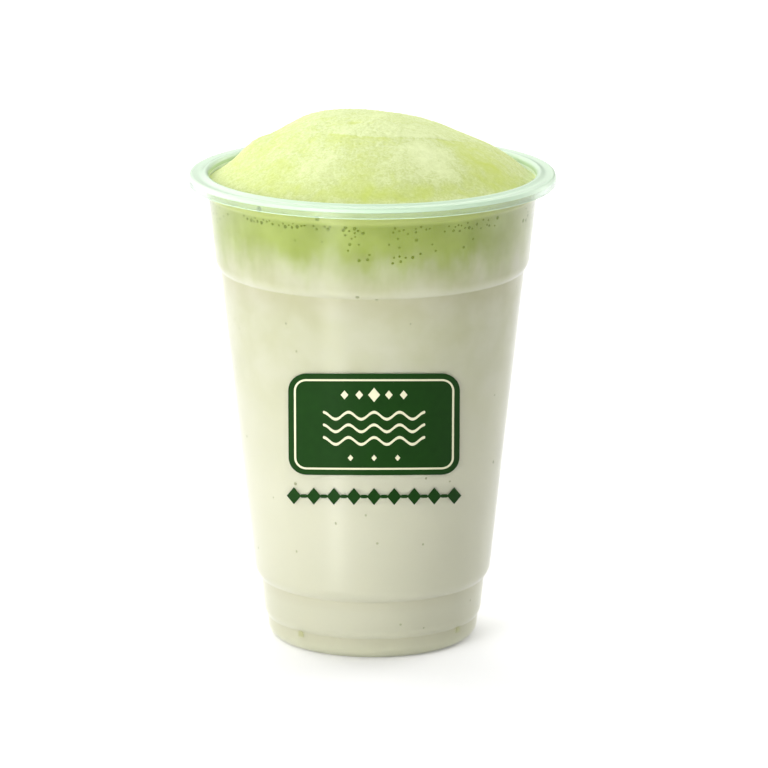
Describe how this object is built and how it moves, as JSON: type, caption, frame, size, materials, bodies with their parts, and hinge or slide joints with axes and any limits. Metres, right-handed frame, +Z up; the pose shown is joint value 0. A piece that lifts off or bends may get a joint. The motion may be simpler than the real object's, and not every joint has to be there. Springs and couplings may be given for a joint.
{
  "type": "coconut longan drink in a plastic cup",
  "caption": "Clear plastic takeaway cup filled with a milky coconut drink, with a layer of green foam on it that domes over the rim.",
  "frame": {"origin": "centre of the circle that the cup stands on, on the surface it stands on", "axes": "+Z up along the cup's axis; -Y is the front, the side with the print; +X is to the right seen from the front"},
  "size_m": [0.095, 0.095, 0.1385],
  "materials": {
    "clear_cup": "clear thermoformed polypropylene, faintly green, semi-gloss",
    "milky_drink": "opaque off-white coconut milk, wet gloss behind the cup wall",
    "green_foam": "fine pale green milk foam, soft and matte"
  },
  "bodies": {
    "root": {"cup": "clear_cup", "drink": "milky_drink", "foam": "green_foam"}
  },
  "joints": []
}
